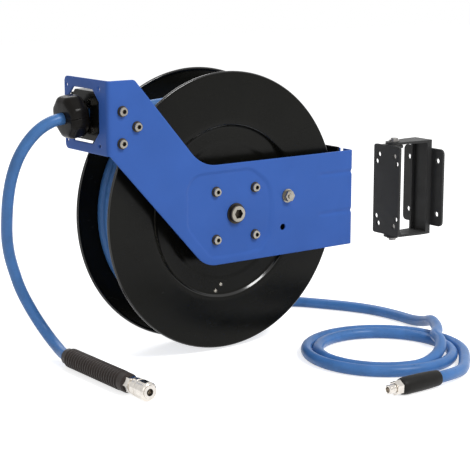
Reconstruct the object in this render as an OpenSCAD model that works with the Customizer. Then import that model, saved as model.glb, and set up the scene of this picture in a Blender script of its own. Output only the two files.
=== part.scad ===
// Spring-rewind air hose reel on a swivelling wall bracket.
// +Z is up and the wall is the plane X = 0. The reel stands out from it towards -X,
// and its drum turns about an axis along Y. The origin is the centre of the four
// wall bolts, on the wall plate's back face.

/* [Wall bracket] */
// Width of the wall plate along Y
wall_plate_w = 93; // [88:1:140]
// Height of the wall plate
wall_plate_h = 130; // [120:1:160]
// Thickness of the wall plate and of the strip that carries the pin
wall_plate_t = 4; // [3:0.5:6]
// Spacing of the wall bolts along Y
wall_bolt_w = 68; // [60:1:76]
// Spacing of the wall bolts along Z
wall_bolt_h = 90; // [70:1:100]
// Diameter of the wall bolt holes
wall_hole_d = 9; // [6:0.5:12]
// Width of the strip that carries the pin
strip_w = 40; // [30:1:50]
// Distance from the wall to the pin's axis
pin_out = 71; // [54:1:84]
// Diameter of the pin
pin_d = 12; // [8:1:14]
// Width of the swing plate
swing_w = 62; // [58:1:90]
// Height of the swing plate
swing_h = 149; // [140:1:190]
// Distance from the pin's axis to the front of the swing plate
swing_out = 16; // [16:1:22]
// Diameter of the swing plate's holes
swing_hole_d = 8.5; // [6:0.5:9]
// Spacings along Y and Z of the narrow hole pattern, which the reel's base also has
narrow_bolts = [37, 116];
// Spacings along Y and Z of the wide hole pattern
wide_bolts = [48, 92];

/* [Frame] */
// Thickness of the frame's sheet
sheet_t = 3; // [2:0.5:4]
// Distance from the drum's axis to the outside of the base
base_reach = 230; // [224:1:270]
// Distance from the drum's axis to the outside of the guide plate
guide_reach = 221; // [216:1:260]
// Height of the top edge of the arm above the drum's axis
arm_top = 76; // [70:1:90]
// Depth of the bottom edge of the arm below the drum's axis
arm_low = 74; // [70:1:90]
// Height of the guide plate's top edge above the drum's axis
guide_top = 209; // [204:1:230]
// Height of the guide plate's bottom edge above the drum's axis
guide_low = 104; // [100:1:108]
// Distance from the drum's front rim to the outside of the arm
arm_stand = 22.5; // [20:0.5:40]
// Width of the base, from the outside of the arm
base_w = 92; // [80:1:110]
// Width of the guide plate, from the outside of the arm
guide_w = 118; // [112:1:130]
// Width of the eight-sided window in the guide plate
window_w = 86; // [80:1:88]
// Height of the window
window_h = 77; // [72:1:80]
// Distance from the drum's rear rim to the rear support
rear_stand = 16; // [12:1:30]

/* [Drum] */
// Diameter of the drum's flanges over their rims
flange_d = 420; // [410:1:440]
// Thickness of the flanges' sheet
flange_t = 1.2; // [0.8:0.1:2]
// Diameter of the bead rolled round each flange
bead_d = 5; // [3:0.5:7]
// Diameter of the pressed recess in each flange
recess_d = 262; // [240:1:270]
// Depth of the recess
recess_depth = 6; // [3:0.5:8]
// Number of wraps of hose across the drum
wraps = 5; // [5:2:7]
// Number of layers of hose
layers = 3; // [2:1:3]
// Diameter of the axle
axle_d = 20; // [16:1:24]
// Number of teeth on the ratchet
teeth = 12; // [8:4:24]
// Diameter of the ratchet over its teeth
ratchet_d = 144; // [130:1:148]

/* [Hose] */
// Outside diameter of the hose
hose_d = 17; // [14:0.5:17.5]
// Length of the ribbed grip
grip_l = 168; // [90:1:180]
// Diameter of the ribbed grip
grip_d = 29; // [24:1:32]
// Length of the quick coupler beyond the grip
coupler_l = 50; // [40:1:70]
// Diameter of the quick coupler's sleeve
coupler_d = 27; // [24:1:30]
// Diameter of the hose stopper
stopper_d = 60; // [50:1:66]
// Length of the hose stopper
stopper_l = 29; // [20:1:40]

/* [Hidden] */

// Where the drum's axis crosses the plane of its front rim
reel_at = [-430, -22.5, 6];
// Clearances: a running fit, a bolt in its hole, and two things that pass each other
fit = 0.05;
slack = 0.25;
pass = 0.3;

// Places along Y, from the plane of the drum's front rim
wrap_pitch = hose_d + 2 * pass;
drum_inside = wraps * wrap_pitch - pass;
mid_y = drum_inside / 2;
arm_y = -arm_stand - flange_t;
arm_in = arm_y + sheet_t;
rear_y = drum_inside + flange_t + rear_stand;
axle_end = rear_y + sheet_t + 14;
// The air's port in the axle, and the front of the swivel round it, where the mainspring's room ends
port_y = drum_inside - 36.7;
swivel_from = port_y - 5;

// Radii of the hose's layers and of the core under them
layer_pitch = hose_d - 0.5;
layer_r = [for (i = [0:layers - 1]) flange_d / 2 - 25 - layer_pitch * i];
strand_r = layer_r[1] + hose_d + pass;
core_r = layer_r[layers - 1] - hose_d / 2 - pass;
bead_r = bead_d / 2;
bend_r = 2 * sheet_t;

// The guide's window, and the height where the hose lies when it reaches the floor
guide_z = (guide_top + guide_low) / 2;
floor_z = -flange_d / 2 - 3;
lying = floor_z + hose_d / 2;

// Fasteners: where they stand on the arm, as [x, z]
hub_bolt_span = 36;
hub_bolts_at = [for (x = [-1, 1], z = [-1, 1]) hub_bolt_span * [x, z]];
guide_bolts_at = [[-198, 166], [-174, 143], [-199, 121]];
pawl_at = [97, 17];
guide_hole_w = 88;
guide_hole_h = 80;
guide_hole_d = 5;
m6 = 6;
m8 = 8;
m12 = 12;

// Colours
paint_blue = [0.2, 0.38, 0.68];
hose_blue = [0.27, 0.47, 0.76];
black = [0.1, 0.1, 0.1];
charcoal = [0.19, 0.19, 0.19];
rubber = [0.2, 0.17, 0.15];
zinc = [0.75, 0.76, 0.78];
brass = [0.72, 0.6, 0.32];

// ---------- Shapes that several pieces use ----------

module reel() translate(reel_at) children();

// A solid of revolution about a line along Y: the outline's x is the radius
module turned(at = [0, 0], y = 0)
    translate([at.x, y, at.y]) rotate([-90, 0, 0]) rotate_extrude($fn = 96) children();

module rod_x(d, from, to, at = [0, 0])
    translate([from, at.x, at.y]) rotate([0, 90, 0]) cylinder(d = d, h = to - from, $fn = 48);

module rod_y(d, from, to, at = [0, 0])
    translate([at.x, from, at.y]) rotate([-90, 0, 0]) cylinder(d = d, h = to - from, $fn = 48);

module hex_y(flats, from, to, at = [0, 0])
    translate([at.x, from, at.y]) rotate([-90, 0, 0])
        cylinder(d = flats / cos(30), h = to - from, $fn = 6);

module hex_x(flats, from, to, at = [0, 0])
    translate([from, at.x, at.y]) rotate([0, 90, 0])
        cylinder(d = flats / cos(30), h = to - from, $fn = 6);

// A plate whose outline is drawn in X and Z, or in Y and Z
module plate_y(from, to) translate([0, to, 0]) rotate([90, 0, 0]) linear_extrude(to - from) children();
module plate_x(from, to) translate([from, 0, 0]) rotate([90, 0, 90]) linear_extrude(to - from) children();

module ring(outer, inner, h) {
    difference() {
        cylinder(d = outer, h = h, $fn = 64);
        translate([0, 0, -1]) cylinder(d = inner, h = h + 2, $fn = 64);
    }
}

function unit(v) = v / norm(v);

// The points of the arc that rounds the corner b between a and c
function corner_arc(a, b, c, r, steps = 6) =
    let (u = unit(a - b), v = unit(c - b), half = acos(u * v) / 2,
         o = b + unit(u + v) * r / sin(half),
         p = b + u * r / tan(half) - o, q = b + v * r / tan(half) - o,
         from = atan2(p.y, p.x), turn = (atan2(q.y, q.x) - from + 540) % 360 - 180)
    [for (i = [0:steps]) o + r * [cos(from + turn * i / steps), sin(from + turn * i / steps)]];

// An outline from corners given as [x, y] or, where the corner is round, [x, y, radius]
function rounded(corners) =
    let (n = len(corners))
    [for (i = [0:n - 1])
        let (a = corners[(i + n - 1) % n], b = corners[i], c = corners[(i + 1) % n])
        each (len(b) == 2 ? [b] : corner_arc([a.x, a.y], [b.x, b.y], [c.x, c.y], b[2]))];

module rounded_rect(w, h, r) {
    polygon(rounded([[-w / 2, -h / 2, r], [w / 2, -h / 2, r], [w / 2, h / 2, r], [-w / 2, h / 2, r]]));
}

// A rectangle with its corners cut off
module eight_sided(w, h, cut) {
    x = w / 2;
    y = h / 2;
    polygon([[-x, cut - y], [cut - x, -y], [x - cut, -y], [x, cut - y],
        [x, y - cut], [x - cut, y], [cut - x, y], [-x, y - cut]]);
}

module corners_of(w, h) for (x = [-w / 2, w / 2], y = [-h / 2, h / 2]) translate([x, y]) children();

// A tube swept along a route's own points
function tangent(route, i) =
    unit(route[min(i + 1, len(route) - 1)] - route[max(i - 1, 0)]);
function carried(route, side, i = 0) =
    i == len(route) ? [] :
    let (t = tangent(route, i), n = unit(side - (side * t) * t))
    concat([n], carried(route, n, i + 1));

module tube(route, d, sides = 10) {
    n = len(route);
    normals = carried(route, [0.1, 1, 0.1]);
    points = [for (i = [0:n - 1], k = [0:sides - 1])
        let (a = 360 * k / sides)
        route[i] + d / 2 * (cos(a) * normals[i] + sin(a) * cross(tangent(route, i), normals[i]))];
    walls = [for (i = [0:n - 2], k = [0:sides - 1])
        let (a = i * sides + k, b = i * sides + (k + 1) % sides) [a, b, b + sides, a + sides]];
    ends = [[for (k = [sides - 1:-1:0]) k], [for (k = [0:sides - 1]) (n - 1) * sides + k]];
    polyhedron(points = points, faces = [for (f = concat(walls, ends)) [for (k = [len(f) - 1:-1:0]) f[k]]]);
}

// A socket-head bolt along Y: the washer lies on the face at y, and the shank ends at shank_end
module bolt_y(d, y, shank_end, at) {
    difference() {
        union() {
            rod_y(d * 1.95, y - d * 0.15, y, at);
            turned(at, y - d * 0.8) polygon([[0, 0], [d * 0.68, 0], [d * 0.8, d * 0.12],
                [d * 0.8, d * 0.7], [0, d * 0.7]]);
            rod_y(d, y - 1, shank_end, at);
        }
        hex_y(d * 0.75, y - d, y - d * 0.3, at);
    }
}

// ---------- Wall bracket ----------

ear_gap = 1;
ear_z = swing_h / 2 + ear_gap;
ear_r = 14;

module wall_plate() {
    color(charcoal) difference() {
        plate_x(-wall_plate_t, 0) rounded_rect(wall_plate_w, wall_plate_h, 8);
        plate_x(-wall_plate_t - 1, 1) corners_of(wall_bolt_w, wall_bolt_h) circle(d = wall_hole_d, $fn = 32);
    }
}

// The strip bent into a C: its web is welded to the wall plate, and its ears hold the pin
module wall_strip() {
    inner = -2 * wall_plate_t;
    color(charcoal) difference() {
        union() {
            translate([inner, -strip_w / 2, -ear_z - wall_plate_t])
                cube([wall_plate_t, strip_w, 2 * (ear_z + wall_plate_t)]);
            for (z = [ear_z, -ear_z - wall_plate_t]) translate([0, 0, z]) linear_extrude(wall_plate_t)
                polygon(rounded([[inner + 1, -strip_w / 2], [inner + 1, strip_w / 2],
                    [inner - 18, strip_w / 2, 8], [-pin_out, ear_r], [-pin_out - ear_r, ear_r, ear_r - 1],
                    [-pin_out - ear_r, -ear_r, ear_r - 1], [-pin_out, -ear_r], [inner - 18, -strip_w / 2, 8]]));
            for (y = [-strip_w / 2, strip_w / 2 - wall_plate_t])
                translate([inner - 6, y, -ear_z]) cube([6.5, wall_plate_t, 2 * ear_z]);
        }
        translate([-pin_out, 0, -ear_z - wall_plate_t - 1])
            cylinder(d = pin_d + 2 * fit, h = 2 * ear_z + 2 * wall_plate_t + 2, $fn = 48);
    }
}

pin_end = ear_z + wall_plate_t + 6;
groove_z = ear_z + wall_plate_t + 1.6;

module pivot_pin() {
    color(zinc) translate([-pin_out, 0, 0]) difference() {
        translate([0, 0, -pin_end]) cylinder(d = pin_d, h = 2 * pin_end, $fn = 48);
        for (z = [groove_z, -groove_z - 1.2]) translate([0, 0, z]) ring(pin_d + 4, pin_d - 2, 1.2);
    }
}

// Retaining rings, open at one side, that sit in the pin's grooves
module pin_clips() {
    color(black) for (z = [groove_z, -groove_z - 1.2]) translate([-pin_out, 0, z + 0.05]) difference() {
        ring(pin_d + 6, pin_d - 1.9, 1.1);
        translate([-pin_d, -2, -1]) cube([pin_d, 4, 4]);
    }
}

module swivel_washers() {
    color("white") for (z = [swing_h / 2 + 0.05, -swing_h / 2 - ear_gap + 0.05])
        translate([-pin_out, 0, z]) ring(24, pin_d + 2 * slack, ear_gap - 0.1);
}

// The plate that the reel's base bolts to, with two ears bent back to the pin
module swing_plate() {
    front = -pin_out - swing_out;
    color(charcoal) difference() {
        union() {
            plate_x(front, front + wall_plate_t) rounded_rect(swing_w, swing_h, 4);
            for (z = [-swing_h / 2, swing_h / 2 - wall_plate_t]) translate([0, 0, z])
                linear_extrude(wall_plate_t)
                    polygon(rounded([[front + 1, -18], [-pin_out + 6, -18, 8], [-pin_out + 12, 0, 6],
                        [-pin_out + 6, 18, 8], [front + 1, 18]]));
        }
        translate([-pin_out, 0, -swing_h]) cylinder(d = pin_d + 2 * fit, h = 2 * swing_h, $fn = 48);
        plate_x(front - 1, front + wall_plate_t + 1) {
            corners_of(narrow_bolts.x, narrow_bolts.y) circle(d = swing_hole_d, $fn = 32);
            corners_of(wide_bolts.x, wide_bolts.y) circle(d = swing_hole_d, $fn = 32);
        }
    }
}

// ---------- Frame ----------

base_at = [-reel_at.y, -reel_at.z];
rib_z = [42, -20];

// The whole sheet seen from above: guide plate, arm and base, with round bends
module frame_plan() {
    polygon(rounded([
        [-guide_reach, arm_y + guide_w], [-guide_reach, arm_y, bend_r], [base_reach, arm_y, bend_r],
        [base_reach, arm_y + base_w], [base_reach - sheet_t, arm_y + base_w],
        [base_reach - sheet_t, arm_y + sheet_t, bend_r - sheet_t],
        [-guide_reach + sheet_t, arm_y + sheet_t, bend_r - sheet_t],
        [-guide_reach + sheet_t, arm_y + guide_w]]));
}

// The arm seen from the front: a level band to the base, and a slanted one up to the guide
module arm_outline() {
    polygon(rounded([
        [-guide_reach, guide_top], [-177, guide_top, 8], [-62, arm_top, 60], [base_reach, arm_top],
        [base_reach, -arm_low], [-56, -arm_low, 45], [-guide_reach, guide_low]]));
}

// The sheet seen along X: the base with its relief notch beside the bend, and the guide plate
module frame_side() {
    polygon(rounded([
        [arm_y - 1, -arm_low], [arm_y + base_w, -arm_low, 12], [arm_y + base_w, arm_top, 12],
        [7, arm_top], [7, arm_top - 7], [-1, arm_top - 7], [-1, arm_top], [-10, arm_top],
        [-10, guide_low], [arm_y + guide_w, guide_low, 8], [arm_y + guide_w, guide_top, 8],
        [arm_y - 1, guide_top]]));
}

// The panel round the hub, which is pressed in
module panel_outline(spread = 0) {
    offset(delta = spread) polygon(rounded([
        [-88, 64, 26], [30, 65, 30], [67, 42, 34], [73, 0, 60], [67, -44, 34], [46, -63, 20],
        [-46, -63, 20], [-88, -14, 30]]));
}

panel_depth = 2;

// A hole right through the arm, also where the panel is pressed in
module arm_hole(d, at = [0, 0]) rod_y(d, arm_y - 1, arm_in + panel_depth + 1, at);

module arm_frame() {
    color(paint_blue) reel() difference() {
        union() {
            intersection() {
                translate([0, 0, -arm_low - 1]) linear_extrude(arm_low + guide_top + 2) frame_plan();
                plate_y(arm_y - 1, arm_y + guide_w + 1) arm_outline();
                plate_x(-guide_reach - 1, base_reach + 1) frame_side();
            }
            plate_y(arm_in - 0.5, arm_in + panel_depth) panel_outline(sheet_t);
        }
        plate_y(arm_y - 1, arm_y + panel_depth) panel_outline();
        // Two pressed grooves that stiffen the bend at the base
        for (z = rib_z) {
            rod_x(20, 160, base_reach + 1, [arm_y - 8.6, z]);
            rod_y(20, arm_y - 1, arm_y + base_w + 1, [base_reach + 8.6, z]);
        }
        for (p = hub_bolts_at) arm_hole(m8 + 2 * slack, p);
        for (p = guide_bolts_at) arm_hole(m8 + 2 * slack, p);
        arm_hole(m12 + 2 * slack);
        arm_hole(m8 + 2 * slack, pawl_at);
        arm_hole(10, [89, -31]);
        translate([0, mid_y, guide_z]) plate_x(-guide_reach - 1, -guide_reach + sheet_t + 1) {
            eight_sided(window_w, window_h, 17);
            corners_of(guide_hole_w, guide_hole_h) circle(d = guide_hole_d, $fn = 32);
        }
        translate([0, base_at.x, base_at.y]) plate_x(base_reach - sheet_t - 1, base_reach + 1)
            corners_of(narrow_bolts.x, narrow_bolts.y) circle(d = swing_hole_d, $fn = 32);
    }
}

// The rear arm: a tab on the inside of the base, bent to run behind the drum to the axle
support_x = base_reach - sheet_t;
support_hub_r = 34;

module rear_support() {
    color(black) reel() difference() {
        intersection() {
            translate([0, 0, -arm_low]) linear_extrude(arm_low + arm_top + 1.5)
                polygon(rounded([
                    [support_x, 8], [support_x, rear_y + sheet_t, bend_r],
                    [-support_hub_r, rear_y + sheet_t], [-support_hub_r, rear_y],
                    [support_x - sheet_t, rear_y, bend_r - sheet_t], [support_x - sheet_t, 8]]));
            plate_y(0, rear_y + sheet_t + 1) polygon(rounded([
                [support_x + 1, arm_top + 1.5], [175, arm_top + 1.5, 30], [40, support_hub_r, 60],
                [-support_hub_r, support_hub_r, support_hub_r - 2],
                [-support_hub_r, -support_hub_r, support_hub_r - 2],
                [40, -support_hub_r, 60], [175, -arm_low, 30], [support_x + 1, -arm_low]]));
        }
        rod_y(axle_d + 2 * fit, rear_y - 1, rear_y + sheet_t + 1);
        translate([0, base_at.x, base_at.y]) plate_x(support_x - sheet_t - 1, support_x + 1)
            corners_of(narrow_bolts.x, narrow_bolts.y) circle(d = swing_hole_d, $fn = 32);
    }
}

// ---------- Axle and what holds it ----------

axle_front = arm_in + panel_depth;
axle_flange_t = 4;
axle_flange_w = 96;

module axle() {
    color(zinc) reel() difference() {
        union() {
            rod_y(axle_d, axle_front, axle_end);
            plate_y(axle_front, axle_front + axle_flange_t)
                rounded_rect(axle_flange_w, axle_flange_w, 14);
        }
        rod_y(m12 + 2 * fit, axle_front - 1, axle_front + 24);
        for (p = hub_bolts_at) rod_y(m8 + 2 * fit, axle_front - 1, axle_front + axle_flange_t + 1, p);
        rod_y(9, port_y, axle_end + 1);
        translate([0, port_y + 4, -axle_d]) cylinder(d = 7, h = 2 * axle_d, $fn = 32);
        for (y = seal_y) turned(y = y) translate([axle_d / 2 - 1.5, 0]) square([3, 2.4]);
    }
}

// Tubes on the axle that keep the drum between the axle's flange and the rear support
module axle_spacers() {
    color(zinc) reel() for (span = [[axle_front + axle_flange_t, ratchet_y + ratchet_t],
            [drum_inside - face_in + flange_t + 5, rear_y]])
        turned(y = span[0] + 0.05) translate([axle_d / 2 + fit, 0])
            square([bush_t - 0.5, span[1] - span[0] - 0.1]);
}

module axle_nut() {
    color(zinc) reel() difference() {
        union() {
            hex_y(30, rear_y + sheet_t + 2, rear_y + sheet_t + 12);
            rod_y(36, rear_y + sheet_t, rear_y + sheet_t + 2);
        }
        rod_y(axle_d + 2 * fit, rear_y, rear_y + sheet_t + 13);
    }
}

// The socket-head bolt in the middle of the arm, on a broad washer
module centre_bolt() {
    face = arm_y + panel_depth;
    color(zinc) reel() difference() {
        union() {
            rod_y(31, face - 2, face);
            turned(y = face - 8.5) polygon([[0, 0], [11.5, 0], [13, 1.5], [13, 6.6], [0, 6.6]]);
            rod_y(m12, face - 3, face + 26);
        }
        hex_y(13, face - 9, face - 2.5);
    }
}

module hub_bolts() {
    color(zinc) reel() for (p = hub_bolts_at)
        bolt_y(m8, arm_y + panel_depth, axle_front + axle_flange_t, p);
}

module guide_bolts() {
    color(zinc) reel() for (p = guide_bolts_at) {
        bolt_y(m8, arm_y, arm_in + cage_wall + 6, p);
        hex_y(m8 * 1.6, arm_in + cage_wall, arm_in + cage_wall + 5, p);
    }
}

// ---------- Pawl ----------

ratchet_y = axle_front + axle_flange_t + 2;
ratchet_t = 5;
tooth_h = 9;
ratchet_phase = 5;

module pawl_bolt() {
    color(zinc) reel() {
        rod_y(21, arm_y - 1.6, arm_y, pawl_at);
        hex_y(15, arm_y - 8, arm_y - 1.5, pawl_at);
        rod_y(m8, arm_y - 10, ratchet_y + ratchet_t + 1.5, pawl_at);
        rod_y(14, ratchet_y + ratchet_t + 1, ratchet_y + ratchet_t + 3, pawl_at);
    }
}

// The pawl stands lifted clear of the teeth, as it does while the hose runs in
pawl_rest = -30;
pawl_l = 40;

module pawl_outline() {
    polygon(rounded([[-8, 8, 7], [8, 8, 7], [8, -5, 6], [2, -pawl_l, 1], [-3.5, -pawl_l, 1], [-8, -5, 6]]));
}

module pawl() {
    color(zinc) reel() translate([pawl_at.x, 0, pawl_at.y])
        difference() {
            plate_y(ratchet_y, ratchet_y + ratchet_t) rotate(pawl_rest) pawl_outline();
            rod_y(m8 + 2 * fit, ratchet_y - 1, ratchet_y + ratchet_t + 1);
        }
}

module pawl_spring() {
    color(zinc) reel() turned(at = pawl_at, y = arm_in + 0.3)
        translate([m8 / 2 + 1.2, 0]) square([1.4, ratchet_y - arm_in - 0.6]);
}

// ---------- Hose guide ----------

cage_wall = 3;
cage_w = 83;
cage_h = 70;
cage_depth = 43;
cage_x = -guide_reach + sheet_t;
cage_bolt_w = 42;
cage_bolt_h = 38;
roller_d = 16;
roller_gap = hose_d + 5;
roller_pin_d = 5;
pin_span = (roller_gap + roller_d) / 2;
upright_x = cage_x + 14;
level_x = cage_x + 32.5;

// An eight-sided box behind the guide plate, with a plate in front of it and a side tab on the arm
module roller_cage() {
    color(black) reel() difference() {
        union() {
            translate([0, mid_y, guide_z]) {
                plate_x(cage_x, cage_x + cage_depth) difference() {
                    eight_sided(cage_w, cage_h, 16);
                    eight_sided(cage_w - 2 * cage_wall, cage_h - 2 * cage_wall, 16 - cage_wall / 2);
                }
                plate_x(cage_x, cage_x + 2) difference() {
                    eight_sided(cage_w, cage_h, 16);
                    square([roller_gap + 8, roller_gap + 8], center = true);
                }
                plate_x(cage_x, cage_x + cage_depth) for (y = [-1, 1], z = [-1, 1])
                    translate([y * (cage_w / 2 - 11), z * (cage_h / 2 - 11)]) square(12, center = true);
            }
            plate_y(arm_in, arm_in + cage_wall) polygon(rounded([
                [cage_x + 4, 181, 6], [-162, 154, 8], [-162, 131, 8], [-190, 109, 6], [cage_x + 4, 109, 6]]));
            translate([cage_x + 4, arm_in, guide_z - 26])
                cube([14, mid_y - cage_w / 2 - arm_in + 1, 26]);
        }
        for (p = guide_bolts_at) rod_y(m8 + 2 * slack, arm_in - 1, arm_in + cage_wall + 1, p);
        translate([0, mid_y, guide_z]) {
            for (y = [-pin_span, pin_span]) translate([upright_x, y, -cage_h])
                cylinder(d = roller_pin_d, h = 2 * cage_h, $fn = 32);
            for (z = [-pin_span, pin_span]) rod_y(roller_pin_d, -cage_w / 2 - 2, cage_w / 2 + 2, [level_x, z]);
            for (y = [-pin_span, pin_span]) translate([upright_x, y, -25])
                cylinder(d = roller_d + 2, h = 50, $fn = 48);
            for (z = [-pin_span, pin_span]) rod_y(roller_d + 2, -32, 32, [level_x, z]);
            for (y = [-1, 1], z = [-1, 1])
                rod_x(m6 + 2 * fit, cage_x - 1, cage_x + 3, [y * cage_bolt_w / 2, z * cage_bolt_h / 2]);
        }
    }
}

module cage_bolts() {
    color(zinc) reel() for (y = [-1, 1], z = [-1, 1])
        translate([0, mid_y + y * cage_bolt_w / 2, guide_z + z * cage_bolt_h / 2]) {
            rod_x(m6, cage_x - 4, cage_x + 4);
            hex_x(10, cage_x - 5, cage_x);
        }
}

module roller_pins() {
    color(zinc) reel() translate([0, mid_y, guide_z]) {
        for (y = [-pin_span, pin_span]) translate([upright_x, y, -cage_h / 2])
            cylinder(d = roller_pin_d - 2 * fit, h = cage_h, $fn = 32);
        for (z = [-pin_span, pin_span])
            rod_y(roller_pin_d - 2 * fit, -cage_w / 2, cage_w / 2, [level_x, z]);
    }
}

// A waisted roller, which keeps the hose in the middle of it
module roller(length) {
    color(charcoal) rotate_extrude($fn = 64) polygon([
        [roller_pin_d / 2 + fit, -length / 2], [roller_d / 2 + 0.6, -length / 2],
        [roller_d / 2 + 0.6, -length / 2 + 3], [roller_d / 2 - 0.6, -length / 6],
        [roller_d / 2 - 0.6, length / 6], [roller_d / 2 + 0.6, length / 2 - 3],
        [roller_d / 2 + 0.6, length / 2], [roller_pin_d / 2 + fit, length / 2]]);
}

upright_l = 48;
level_l = 62;

module roller_near() reel() translate([upright_x, mid_y - pin_span, guide_z]) roller(upright_l);
module roller_far() reel() translate([upright_x, mid_y + pin_span, guide_z]) roller(upright_l);
module roller_top() reel() translate([level_x, mid_y, guide_z + pin_span]) rotate([90, 0, 0]) roller(level_l);
module roller_bottom() reel() translate([level_x, mid_y, guide_z - pin_span]) rotate([90, 0, 0]) roller(level_l);

// ---------- Hose stopper ----------

// The hose droops a little through the stopper, which it carries
stopper_from = [-guide_reach - 5, guide_z + 1.2];
stopper_tilt = 8;
stopper_to = stopper_from - stopper_l * [cos(stopper_tilt), sin(stopper_tilt)];
stopper_screw_at = 17;

// X runs along the hose, from the stopper's outer end
module at_stopper() reel() translate([stopper_to.x, mid_y, stopper_to.y]) rotate([0, -stopper_tilt, 0])
    children();

// Two halves clamped on the hose, with eight flats, round shoulders and a joint line across them
module stopper_halves() {
    r = stopper_d / 2;
    color(black) at_stopper() difference() {
        intersection() {
            rotate([0, 90, 0]) rotate_extrude($fn = 96) polygon(rounded([[hose_d / 2 + slack, 0],
                [r - 4, 0, 5], [r + 1.5, 8, 8], [r + 1.5, stopper_l - 6, 5], [r - 5, stopper_l, 4],
                [hose_d / 2 + slack, stopper_l]]));
            plate_x(-1, stopper_l + 1) eight_sided(stopper_d, stopper_d, stopper_d * 0.29);
        }
        translate([-1, -r - 1, -0.2]) cube([stopper_l + 2, 2 * r + 2, 0.4]);
        for (y = [-stopper_screw_at, stopper_screw_at]) translate([stopper_l / 2, y, 0]) {
            translate([0, 0, -r]) cylinder(d = 5, h = 2 * r, $fn = 32);
            translate([0, 0, r * 0.55]) cylinder(d = 10, h = r, $fn = 32);
        }
    }
}

module stopper_screws() {
    r = stopper_d / 2;
    color(zinc) at_stopper() for (y = [-stopper_screw_at, stopper_screw_at])
        translate([stopper_l / 2, y, 0]) {
            translate([0, 0, -r * 0.7]) cylinder(d = 5 - 2 * fit, h = r * 1.25, $fn = 32);
            translate([0, 0, r * 0.55]) cylinder(d = 9, h = 4, $fn = 32);
        }
}

// ---------- Drum ----------

hub_hole_r = 30;

// The inner dish of the recess: its radius and its depth
dish_r = 104;
dish_step = 1.2;

// Half of a flange's section: hub hole, dish, recess, conical step, flat and rolled rim
module flange_section() {
    r = flange_d / 2 - bead_r;
    step = recess_d / 2;
    dish = [[hub_hole_r, recess_depth], [dish_r, recess_depth], [dish_r + 4, recess_depth - dish_step],
        [step - 4, recess_depth - dish_step], [step + 2, 0], [r, 0]];
    polygon(concat(dish, [for (i = [len(dish) - 1:-1:0]) dish[i] + [0.3, flange_t]]));
    translate([r, flange_t - bead_r]) circle(r = bead_r, $fn = 32);
}

module front_flange() color(black) reel() difference() {
    turned(y = -flange_t) flange_section();
    for (p = drum_bolts_at) rod_y(m6 + 2 * fit, 0, face_in + 2, p);
}

module rear_flange() color(black) reel()
    translate([0, drum_inside + flange_t, 0]) rotate([90, 0, 0]) rotate_extrude($fn = 96) flange_section();

module drum_core() {
    color(black) reel() difference() {
        turned() translate([core_r - 1.5, 0]) square([1.5, drum_inside]);
        translate([0, port_y + 4, 0]) cylinder(d = 15, h = core_r + 5, $fn = 32);
    }
}

// The bosses that carry the drum on its bushes
bush_t = 3;
bush_r = axle_d / 2 + bush_t;
face_in = recess_depth;
boss_l = 14;

module front_hub() {
    top = ratchet_y + ratchet_t + 0.05;
    color(zinc) reel() difference() {
        turned() polygon([[bush_r + fit, top], [58, top], [58, face_in - flange_t - 0.05],
            [hub_hole_r - slack, face_in - flange_t - 0.05], [hub_hole_r - slack, front_boss_end],
            [bush_r + fit, front_boss_end]]);
        for (p = drum_bolts_at) rod_y(m6 + 2 * fit, -50, 50, p);
    }
}

module rear_hub() {
    back = drum_inside - face_in;
    color(zinc) reel() turned() polygon([[bush_r + fit, back - boss_l], [hub_hole_r - slack, back - boss_l],
        [hub_hole_r - slack, back + flange_t + 0.05], [44, back + flange_t + 0.05],
        [44, back + flange_t + 5], [bush_r + fit, back + flange_t + 5]]);
}

module front_bush() {
    from = ratchet_y + ratchet_t + 0.05;
    color(brass) reel() turned() polygon([[axle_d / 2 + fit, from], [bush_r, from],
        [bush_r, front_boss_end], [axle_d / 2 + fit, front_boss_end]]);
}

module rear_bush() {
    back = drum_inside - face_in;
    color(brass) reel() turned() polygon([[axle_d / 2 + fit, back - boss_l], [bush_r, back - boss_l],
        [bush_r, back + flange_t + 5], [axle_d / 2 + fit, back + flange_t + 5]]);
}

// A ratchet wheel with a steep face and a long back on each tooth
module ratchet() {
    r = ratchet_d / 2;
    pitch = 360 / teeth;
    root = r - tooth_h;
    // Each tooth as [radius, share of the pitch]
    tooth = [[root, 0], [r, 0.03], [r, 0.3], [root, 0.55]];
    color(zinc) reel() difference() {
        plate_y(ratchet_y, ratchet_y + ratchet_t) rotate(ratchet_phase)
            polygon([for (i = [0:teeth - 1], t = tooth)
                t[0] * [cos((i + t[1]) * pitch), sin((i + t[1]) * pitch)]]);
        rod_y(2 * bush_r + 2, ratchet_y - 1, ratchet_y + ratchet_t + 1);
        for (p = drum_bolts_at) rod_y(m6 + 2 * fit, ratchet_y - 1, ratchet_y + ratchet_t + 1, p);
    }
}

drum_bolts_at = [for (a = [45:90:315]) 46 * [cos(a), sin(a)]];

module drum_bolts() {
    color(zinc) reel() for (p = drum_bolts_at) {
        rod_y(m6, ratchet_y + 0.2, face_in + 6, p);
        hex_y(10, face_in + 0.05, face_in + 5, p);
    }
}

// ---------- Mainspring ----------

case_r = 104;
case_from = face_in + 0.05;
case_hole_r = 58;
spring_from = case_from + 8;
front_boss_end = spring_from - 0.4;
spring_w = swivel_from - spring_from - 5.95;
case_end = spring_from + spring_w + 2;
case_t = 1.5;
arbor_r = 17;
spring_turns = 9;

module spring_case() {
    color(black) reel() turned() polygon([
        [case_hole_r, case_from], [case_r, case_from], [case_r, case_end],
        [case_r - case_t, case_end], [case_r - case_t, case_from + case_t],
        [case_hole_r, case_from + case_t]]);
}

module spring_cover() {
    from = case_end + 0.05;
    color(black) reel() turned() polygon([[arbor_r + 3, from], [case_r, from], [case_r, from + case_t],
        [arbor_r + 3, from + case_t]]);
}

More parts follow.
